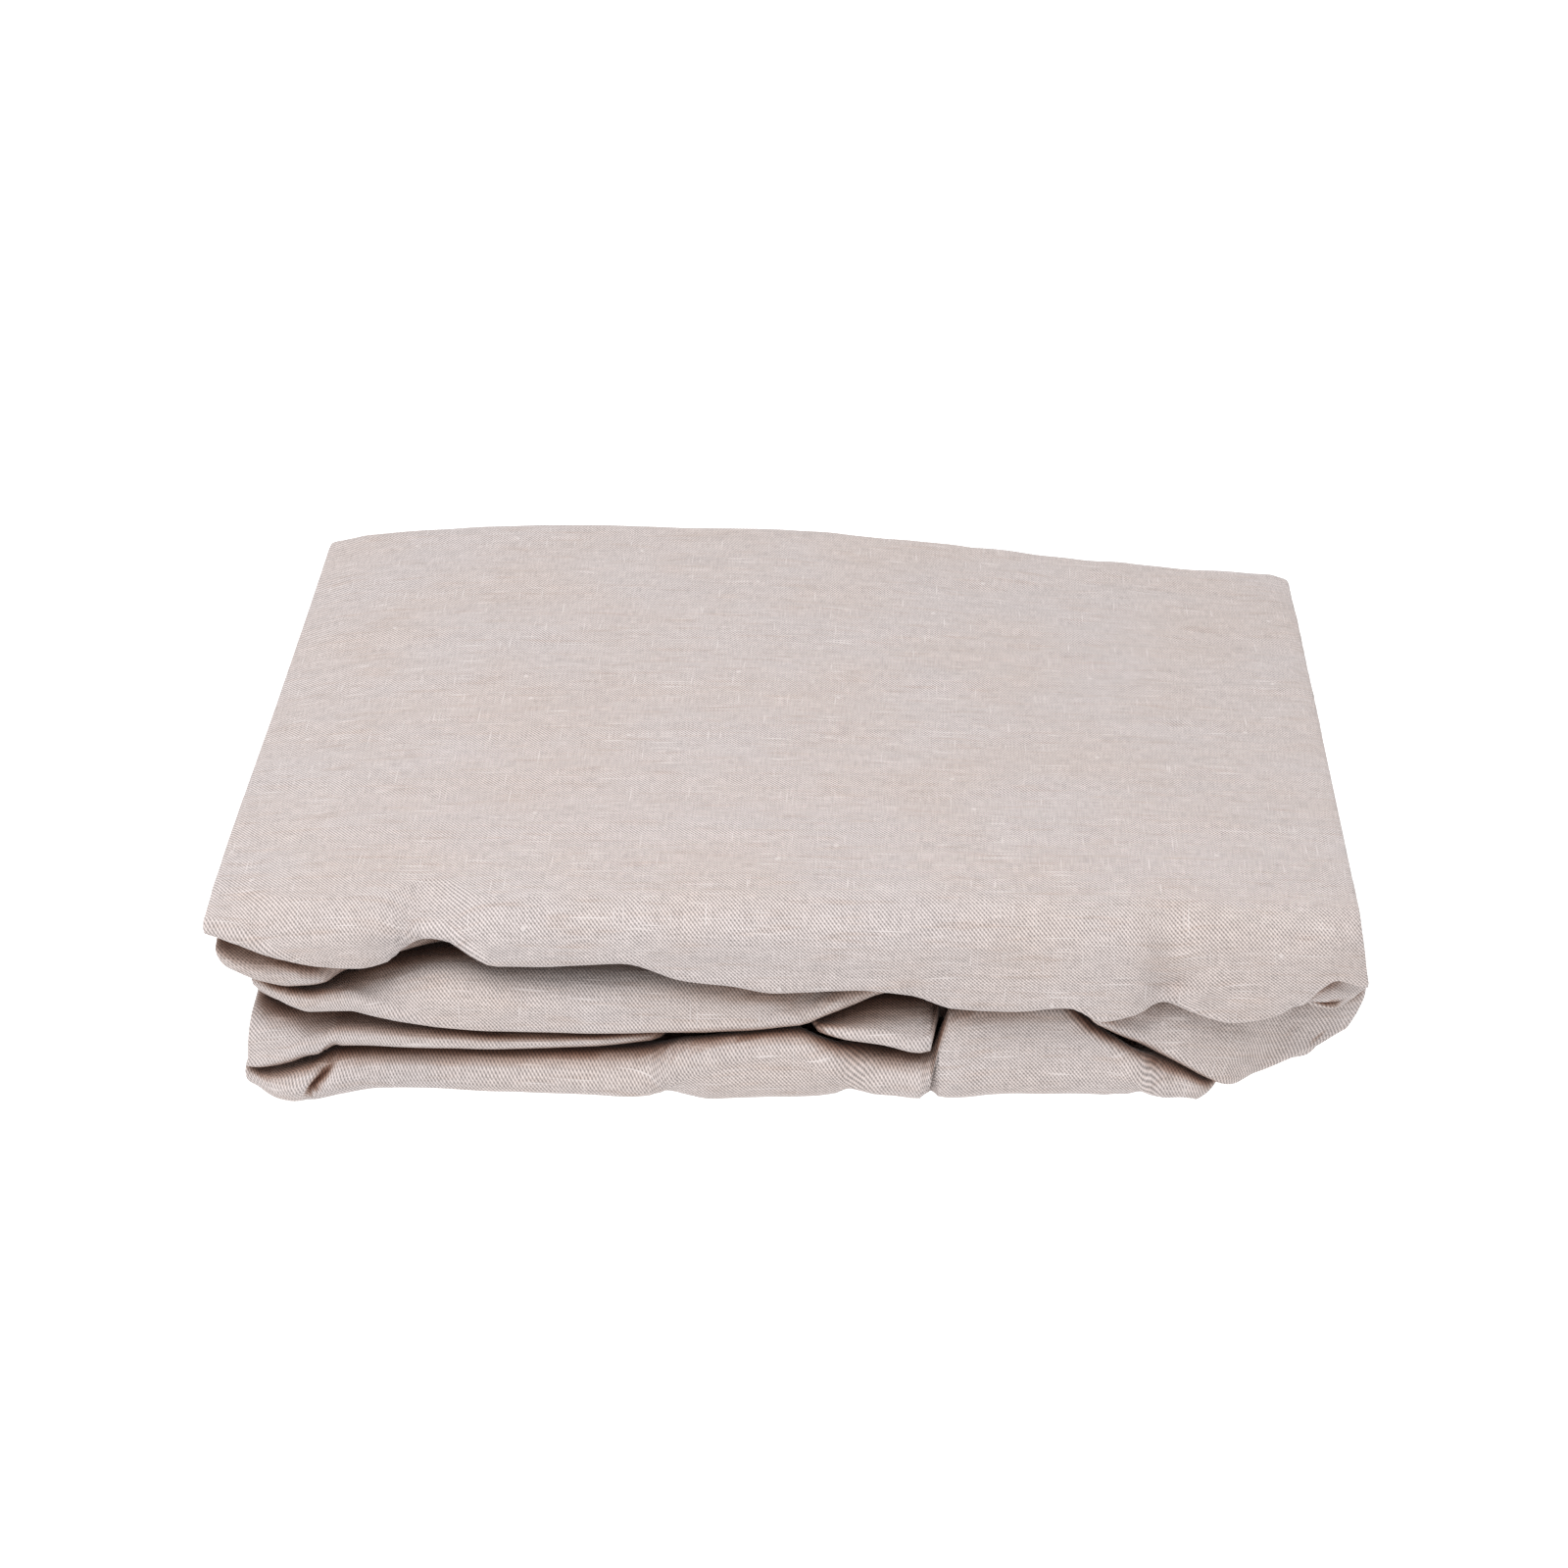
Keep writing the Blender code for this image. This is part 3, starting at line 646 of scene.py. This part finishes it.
def crease_height(rows, across, along):
    """How far creases lift points, for arrays of their two coordinates."""
    lift = np.zeros(across.shape)
    for x0, w0, x1, w1, height, half in rows:
        dx, dw = x1 - x0, w1 - w0
        t = np.clip(((across - x0) * dx + (along - w0) * dw) / (dx * dx + dw * dw), 0.0, 1.0)
        apart = np.hypot(across - x0 - t * dx, along - w0 - t * dw)
        fade = np.sin(np.pi * np.clip(0.12 + 0.88 * t, 0.0, 1.0))
        lift += height * fade * np.exp(-((apart / half) ** 2))
    return lift


def ripple(points, sizes, seed):
    """Smooth uneven values from about -1 to 1 over points, each axis with its own wavelength."""
    scaled = points / np.array(sizes) + seed
    return np.array([noise.noise(Vector(p)) for p in scaled.reshape(-1, 3)]).reshape(points.shape[:-1])


def relief(points, normals, runs, wrinkle):
    """How far each point of the strip stands out: broad waves, wrinkles and placed creases.

    Also returns the painted shade that the deeper creases along the front put on each point, from 0 to 1.
    """
    count = points.shape[1] // 2
    outer = np.zeros(points.shape[1])
    outer[:count] = 1.0
    top_first = runs[-1][0] + len(HIDDEN_PLACES) + len(TIP_TURNS)
    top_face = np.zeros(points.shape[1])
    top_face[top_first:count] = 1.0
    x, y, z = points[..., 0], points[..., 1], points[..., 2]
    inside = smoothstep(190.0, 176.0, np.abs(x))
    facing_front = np.clip(-normals[..., 1], 0.0, 1.0) * outer * smoothstep(-100.0, -116.0, y)
    facing_up = smoothstep(0.2, 0.9, normals[..., 2]) * top_face
    rough = 0.45 + 0.75 * smoothstep(-40.0, 120.0, x) * smoothstep(-120.0, 60.0, y)
    waves = ripple(points, (95.0, 70.0, 60.0), 3.1) * 0.9
    wrinkles = ripple(points, (34.0, 8.0, 30.0), 11.7) + 0.5 * ripple(points, (15.0, 4.5, 12.0), 23.4)
    top = facing_up * (waves + rough * wrinkle * wrinkles + crease_height(TOP_CREASES, x, y) * inside)
    dents = ripple(points, (30.0, 40.0, 15.0), 41.2) + 0.5 * ripple(points, (12.0, 30.0, 7.0), 57.9)
    creased = facing_front * crease_height(FRONT_CREASES, x, z)
    front = facing_front * wrinkle * dents * 0.9 + creased
    closing = np.array([share for _, share in row_list()])[:, None]
    return (top + front) * closing, smoothstep(TROUGH_LOW, TROUGH_HIGH, -creased)


def paint_crevice_shade(mesh, painted_shade_amount):
    """Adds painted shade to each point: how far the layers around it shut it in, from 0 in the open to 1."""
    tree = BVHTree.FromBMesh(mesh)
    turns = [2.0 * math.pi * k / CREVICE_WAYS for k in range(CREVICE_WAYS)]
    ways = [(0.0, 0.0)] + [(far * math.cos(a), far * math.sin(a)) for far in CREVICE_ASIDE for a in turns]
    for vert in mesh.verts:
        out = vert.normal
        side = out.orthogonal().normalized()
        other = out.cross(side)
        near = 0.0
        for across, over in ways:
            way = (out + side * across + other * over).normalized()
            distance = tree.ray_cast(vert.co + out * CREVICE_START, way, CREVICE_REACH)[3]
            near += 0.0 if distance is None else 1.0 - distance / CREVICE_REACH
        vert[painted_shade_amount] = max(vert[painted_shade_amount], float(smoothstep(CREVICE_LOW, CREVICE_HIGH, near / len(ways))))


def sheet_mesh(wrinkle):
    """The strip as one closed mesh, with a map of each point's place on the cloth in metres."""
    points, lengths, runs = strip_points()
    rows, ring = points.shape[:2]
    low, high = points.min((0, 1)), points.max((0, 1))
    middle = (np.array(SOLID_BOX[0]) + np.array(SOLID_BOX[1])) / (2 * MM)
    points[..., :2] += middle[:2] - (low[:2] + high[:2]) / 2
    points[..., 2] -= low[2]
    across = np.roll(points, -1, axis=1) - np.roll(points, 1, axis=1)
    along = np.gradient(points, axis=0)
    normals = np.cross(along, across)
    normals /= np.maximum(np.linalg.norm(normals, axis=2), 1e-9)[..., None]
    lift, trough_shade = relief(points, normals, runs, wrinkle)
    points = points + normals * lift[..., None]
    points[..., 2] = np.maximum(points[..., 2], 0.0)

    mesh = bmesh.new()
    bmesh.ops.create_grid(mesh, x_segments=ring, y_segments=rows - 1, size=1.0)
    place = mesh.loops.layers.uv.new("cloth")
    # Painted shade: set here from the bottoms of deep creases, and later from the layers closing round each
    # point
    painted_shade_amount = mesh.verts.layers.float.new("painted_crevice_shade")
    stations = row_list()
    spots = {}
    for vert in mesh.verts:
        column, row = round((vert.co.x + 1.0) / 2.0 * ring), round((vert.co.y + 1.0) / 2.0 * (rows - 1))
        spots[vert] = (stations[row][0] * MM, lengths[row, column % ring] * MM)
        vert.co = points[row, column % ring] * MM
        vert[painted_shade_amount] = float(trough_shade[row, column % ring])
    for face in mesh.faces:
        for loop in face.loops:
            loop[place].uv = spots[loop.vert]
    bmesh.ops.remove_doubles(mesh, verts=mesh.verts, dist=1e-6)
    bmesh.ops.recalc_face_normals(mesh, faces=mesh.faces)
    paint_crevice_shade(mesh, painted_shade_amount)
    data = bpy.data.meshes.new("fitted_sheet_cloth")
    mesh.to_mesh(data)
    mesh.free()
    data.shade_smooth()
    return data


def add_node(tree, kind, inputs, **settings):
    """Adds a node: its inputs are values or other nodes' sockets, by name or number."""
    node = tree.nodes.new(kind)
    for name, value in settings.items():
        setattr(node, name, value)
    for name, value in inputs.items():
        if isinstance(value, bpy.types.NodeSocket):
            tree.links.new(value, node.inputs[name])
        else:
            node.inputs[name].default_value = value
    return node


def washed_linen(settings):
    """Stonewashed linen, woven from slubby flax yarn: matt, soft, and uneven from thread to
    thread, with a few thick yarns and small knots standing out paler. Deep between the layers,
    where they touch and light barely enters, painted shade makes it a dark brown, and so it does
    in the bottoms of deep creases; its crinkles are painted paler on their ridges and darker in
    their troughs."""
    material = bpy.data.materials.new("washed_linen")
    material.use_nodes = True
    tree = material.node_tree
    shader = tree.nodes["Principled BSDF"]
    thread = settings.thread_spacing
    cloth = add_node(tree, "ShaderNodeUVMap", {}, uv_map="cloth").outputs[0]

    def yarns(width, length, offset, detail=2.0):
        place = {0: cloth, 1: (offset, offset, 0.0), 3: (1.0 / width, 1.0 / length, 1.0)}
        placed = add_node(tree, "ShaderNodeMapping", place).outputs[0]
        texture = {"Vector": placed, "Scale": 1.0, "Detail": detail, "Roughness": 0.5}
        return add_node(tree, "ShaderNodeTexNoise", texture, noise_dimensions="2D").outputs[0]

    def blend(kind, a, b, factor=1.0):
        mixed = add_node(tree, "ShaderNodeMix", {0: factor, 6: a, 7: b}, data_type="RGBA", blend_type=kind)
        return mixed.outputs[2]

    def spread(value, low, high, out_low=0.0, out_high=1.0):
        ends = {0: value, 1: low, 2: high, 3: out_low, 4: out_high}
        return add_node(tree, "ShaderNodeMapRange", ends).outputs[0]

    def total(kind, a, b):
        return add_node(tree, "ShaderNodeMath", {0: a, 1: b}, operation=kind).outputs[0]

    # Warp and weft threads of uneven thickness, and the slant of a weave seen from a step away
    warp = yarns(thread * 0.8, thread * 9.0, 0.37)
    weft = yarns(thread * 9.0, thread * 0.8, 4.11)
    split = add_node(tree, "ShaderNodeSeparateXYZ", {0: cloth})
    across, along, turn = split.outputs[0], split.outputs[1], math.pi / thread
    rising = total("SINE", total("MULTIPLY", total("ADD", across, along), turn), 0.0)
    falling = total("SINE", total("MULTIPLY", total("SUBTRACT", across, along), turn), 0.0)
    over = total("ADD", total("MULTIPLY", rising, 0.42), total("MULTIPLY", falling, 0.16))
    height = total("ADD", total("MULTIPLY", total("ADD", warp, weft), 0.5), over)

    # Thick yarns, in short lengths, and knots
    slub_warp = spread(yarns(thread * 1.1, thread * 20.0, 9.3, 0.0), 0.80, 0.89)
    slub_weft = spread(yarns(thread * 30.0, thread * 1.1, 2.7, 0.0), 0.77, 0.87)
    slubs = total("MAXIMUM", slub_warp, slub_weft)
    knots = add_node(tree, "ShaderNodeTexVoronoi", {"Vector": cloth, "Scale": 1.0 / settings.knot_spacing},
                     voronoi_dimensions="2D").outputs[0]
    knot = spread(knots, 0.008, 0.018, 1.0, 0.0)

    # Faint streaks, broad patches, and painted shade on crinkles: their ridges a little paler, their troughs
    # a little darker
    tint = spread(yarns(0.022, 0.0022, 6.6, 4.0), 0.54, 0.76)
    patch = spread(yarns(0.060, 0.045, 1.9, 3.0), 0.35, 0.68)
    colour = blend("MIX", settings.cloth_colour, settings.patch_colour, patch)
    colour = blend("MIX", colour, settings.streak_colour, total("MULTIPLY", tint, 0.30))
    # Painted light and shade along the crinkles: the colour is scaled from 0.975 to 1.02 by a crinkle noise
    crinkle_painted_shade = spread(yarns(0.042, 0.0062, 3.3, 3.0), 0.30, 0.70, 0.975, 1.02)
    shade = total("MULTIPLY", spread(height, -0.1, 1.1, 0.48, 1.48), crinkle_painted_shade)
    grey = add_node(tree, "ShaderNodeCombineColor", {0: shade, 1: shade, 2: shade}).outputs[0]
    colour = blend("MULTIPLY", colour, grey)
    pale = total("MULTIPLY", total("MAXIMUM", slubs, knot), 0.5)
    colour = blend("MIX", colour, settings.slub_colour, pale)
    # Painted shade: deep between the layers and in deep crease bottoms, the colour is multiplied towards the
    # crevice shade colour
    painted_shade_amount = add_node(tree, "ShaderNodeAttribute", {}, attribute_name="painted_crevice_shade").outputs["Fac"]
    crevice_shade_tint = add_node(tree, "ShaderNodeGamma", {0: settings.crevice_shade_colour, 1: painted_shade_amount}).outputs[0]
    colour = blend("MULTIPLY", colour, crevice_shade_tint)
    tree.links.new(colour, shader.inputs["Base Color"])

    crinkles = total("ADD", yarns(0.026, 0.0048, 5.2, 2.0), yarns(0.060, 0.011, 8.8, 1.0))
    raised = total("ADD", height, total("ADD", total("MULTIPLY", slubs, 0.5), total("MULTIPLY", knot, 1.2)))
    raised = total("ADD", raised, total("MULTIPLY", crinkles, 6.0))
    bump = add_node(tree, "ShaderNodeBump", {"Strength": 0.7, "Distance": thread * 0.4, "Height": raised})
    tree.links.new(bump.outputs[0], shader.inputs["Normal"])
    shader.inputs["Roughness"].default_value = 0.92
    shader.inputs["Specular IOR Level"].default_value = 0.25
    shader.inputs["Sheen Weight"].default_value = 0.12
    shader.inputs["Sheen Roughness"].default_value = 0.5
    return material


def frosted_sweep(settings):
    """Frosted acrylic lit from behind: it looks white, and shadows on it all but wash out."""
    material = bpy.data.materials.new("frosted_acrylic")
    material.use_nodes = True
    shader = material.node_tree.nodes["Principled BSDF"]
    shader.inputs["Base Color"].default_value = settings.sweep_colour
    shader.inputs["Roughness"].default_value = 0.95
    shader.inputs["Specular IOR Level"].default_value = 0.0
    shader.inputs["Emission Color"].default_value = (1.0, 1.0, 1.0, 1.0)
    shader.inputs["Emission Strength"].default_value = settings.sweep_glow
    return material


class LinenSheetSettings(bpy.types.PropertyGroup):
    thread_spacing: bpy.props.FloatProperty(
        name="Thread Spacing",
        description="From thread to thread. The real cloth has about 0.5 mm; drawn coarser, so it shows",
        default=0.00065,
        unit="LENGTH",
    )
    knot_spacing: bpy.props.FloatProperty(
        name="Knot Spacing",
        description="Distance between the small knots in the yarn",
        default=0.06,
        unit="LENGTH",
    )
    wrinkle_height: bpy.props.FloatProperty(
        name="Wrinkle Height",
        description="How far the small wrinkles rise above the smooth cloth",
        default=0.0009,
        unit="LENGTH",
    )
    cloth_colour: bpy.props.FloatVectorProperty(
        name="Cloth Colour",
        description="The linen's main colour",
        default=linear("#B1A8A6"),
        size=4,
        subtype="COLOR",
    )
    patch_colour: bpy.props.FloatVectorProperty(
        name="Patch Colour",
        description="The warmer colour of the faint broad patches",
        default=linear("#B1A6A2"),
        size=4,
        subtype="COLOR",
    )
    streak_colour: bpy.props.FloatVectorProperty(
        name="Streak Colour",
        description="The browner colour of the faint streaks along the weft",
        default=linear("#A18D81"),
        size=4,
        subtype="COLOR",
    )
    slub_colour: bpy.props.FloatVectorProperty(
        name="Slub Colour",
        description="The paler colour of thick yarns and knots",
        default=linear("#D2CAC8"),
        size=4,
        subtype="COLOR",
    )
    # Painted shade: the colour that the cloth is multiplied towards deep between the layers and in deep
    # creases
    crevice_shade_colour: bpy.props.FloatVectorProperty(
        name="Crevice Colour",
        description="What the cloth's colour is multiplied by deep between the layers",
        default=linear("#6A4737"),
        size=4,
        subtype="COLOR",
    )


class LinenStageSettings(bpy.types.PropertyGroup):
    sweep_colour: bpy.props.FloatVectorProperty(
        name="Sweep Colour",
        description="The acrylic that the sheet lies on, as it looks when it isn't lit from behind",
        default=linear("#8C8C8C"),
        size=4,
        subtype="COLOR",
    )
    sweep_glow: bpy.props.FloatProperty(
        name="Sweep Glow",
        description="How bright the light through the sweep is",
        default=1.16,
    )
    sweep_size: bpy.props.FloatProperty(
        name="Sweep Size",
        description="The width of the sweep",
        default=12.0,
        unit="LENGTH",
    )
    sky_light: bpy.props.FloatProperty(
        name="Sky Light",
        description="How bright the white surroundings are",
        default=1.0,
    )
    key_light: bpy.props.FloatProperty(
        name="Key Light",
        description="The softbox above the front",
        default=23.5,
        unit="POWER",
    )
    lens: bpy.props.FloatProperty(
        name="Lens",
        description="The camera's focal length",
        default=78.75,
        subtype="DISTANCE_CAMERA",
    )


class LINEN_OT_sheet(bpy.types.Operator):
    """Make the folded linen sheet"""

    bl_idname = "linen.sheet"
    bl_label = "Folded Sheet"

    def execute(self, context):
        settings = context.scene.linen_sheet
        data = sheet_mesh(settings.wrinkle_height / MM)
        data.materials.append(washed_linen(settings))
        sheet = bpy.data.objects.new("linen_sheet", data)
        context.scene.collection.objects.link(sheet)
        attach(sheet, "root")
        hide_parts("fitted_sheet")
        return {"FINISHED"}


class LINEN_OT_stage(bpy.types.Operator):
    """Make the white sweep, the lights and the camera"""

    bl_idname = "linen.stage"
    bl_label = "White Sweep"

    def execute(self, context):
        scene = context.scene
        settings = scene.linen_stage
        mesh = bmesh.new()
        bmesh.ops.create_grid(mesh, x_segments=1, y_segments=1, size=settings.sweep_size / 2)
        data = bpy.data.meshes.new("white_sweep")
        mesh.to_mesh(data)
        mesh.free()
        data.materials.append(frosted_sweep(settings))
        sweep = bpy.data.objects.new("white_sweep", data)
        scene.collection.objects.link(sweep)

        world = bpy.data.worlds.new("white_room")
        world.use_nodes = True
        sky = world.node_tree.nodes["Background"]
        sky.inputs["Color"].default_value = (1.0, 1.0, 1.0, 1.0)
        sky.inputs["Strength"].default_value = settings.sky_light
        scene.world = world

        lamp = bpy.data.lights.new("softbox", "AREA")
        lamp.energy = settings.key_light
        lamp.size = SOFTBOX_SIZE
        softbox = bpy.data.objects.new("softbox", lamp)
        softbox.location = SOFTBOX_PLACE
        aim = Vector((0.0, 0.0, 0.04)) - softbox.location
        softbox.rotation_euler = aim.to_track_quat("-Z", "Y").to_euler()
        scene.collection.objects.link(softbox)

        lens = bpy.data.cameras.new("camera")
        lens.lens = settings.lens
        lens.sensor_width = SENSOR_WIDTH
        camera = bpy.data.objects.new("camera", lens)
        camera.location = CAMERA_PLACE
        camera.rotation_euler = (math.radians(90.0 - CAMERA_DOWN), 0.0, 0.0)
        scene.collection.objects.link(camera)
        scene.camera = camera
        scene.view_settings.view_transform = "Standard"
        return {"FINISHED"}


class LINEN_PT_panel(bpy.types.Panel):
    bl_label = "Linen"
    bl_space_type = "VIEW_3D"
    bl_region_type = "UI"
    bl_category = "Linen"

    def draw(self, context):
        for group, operator in (("linen_sheet", "linen.sheet"), ("linen_stage", "linen.stage")):
            settings = getattr(context.scene, group)
            box = self.layout.box()
            for name in settings.__annotations__:
                box.prop(settings, name)
            box.operator(operator)


CLASSES = (LinenSheetSettings, LinenStageSettings, LINEN_OT_sheet, LINEN_OT_stage, LINEN_PT_panel)


def register():
    for cls in CLASSES:
        bpy.utils.register_class(cls)
    bpy.types.Scene.linen_sheet = bpy.props.PointerProperty(type=LinenSheetSettings)
    bpy.types.Scene.linen_stage = bpy.props.PointerProperty(type=LinenStageSettings)


def unregister():
    del bpy.types.Scene.linen_stage
    del bpy.types.Scene.linen_sheet
    for cls in reversed(CLASSES):
        bpy.utils.unregister_class(cls)


def main():
    register()
    bpy.ops.linen.stage()
    bpy.ops.linen.sheet()


if __name__ == "__main__":
    main()
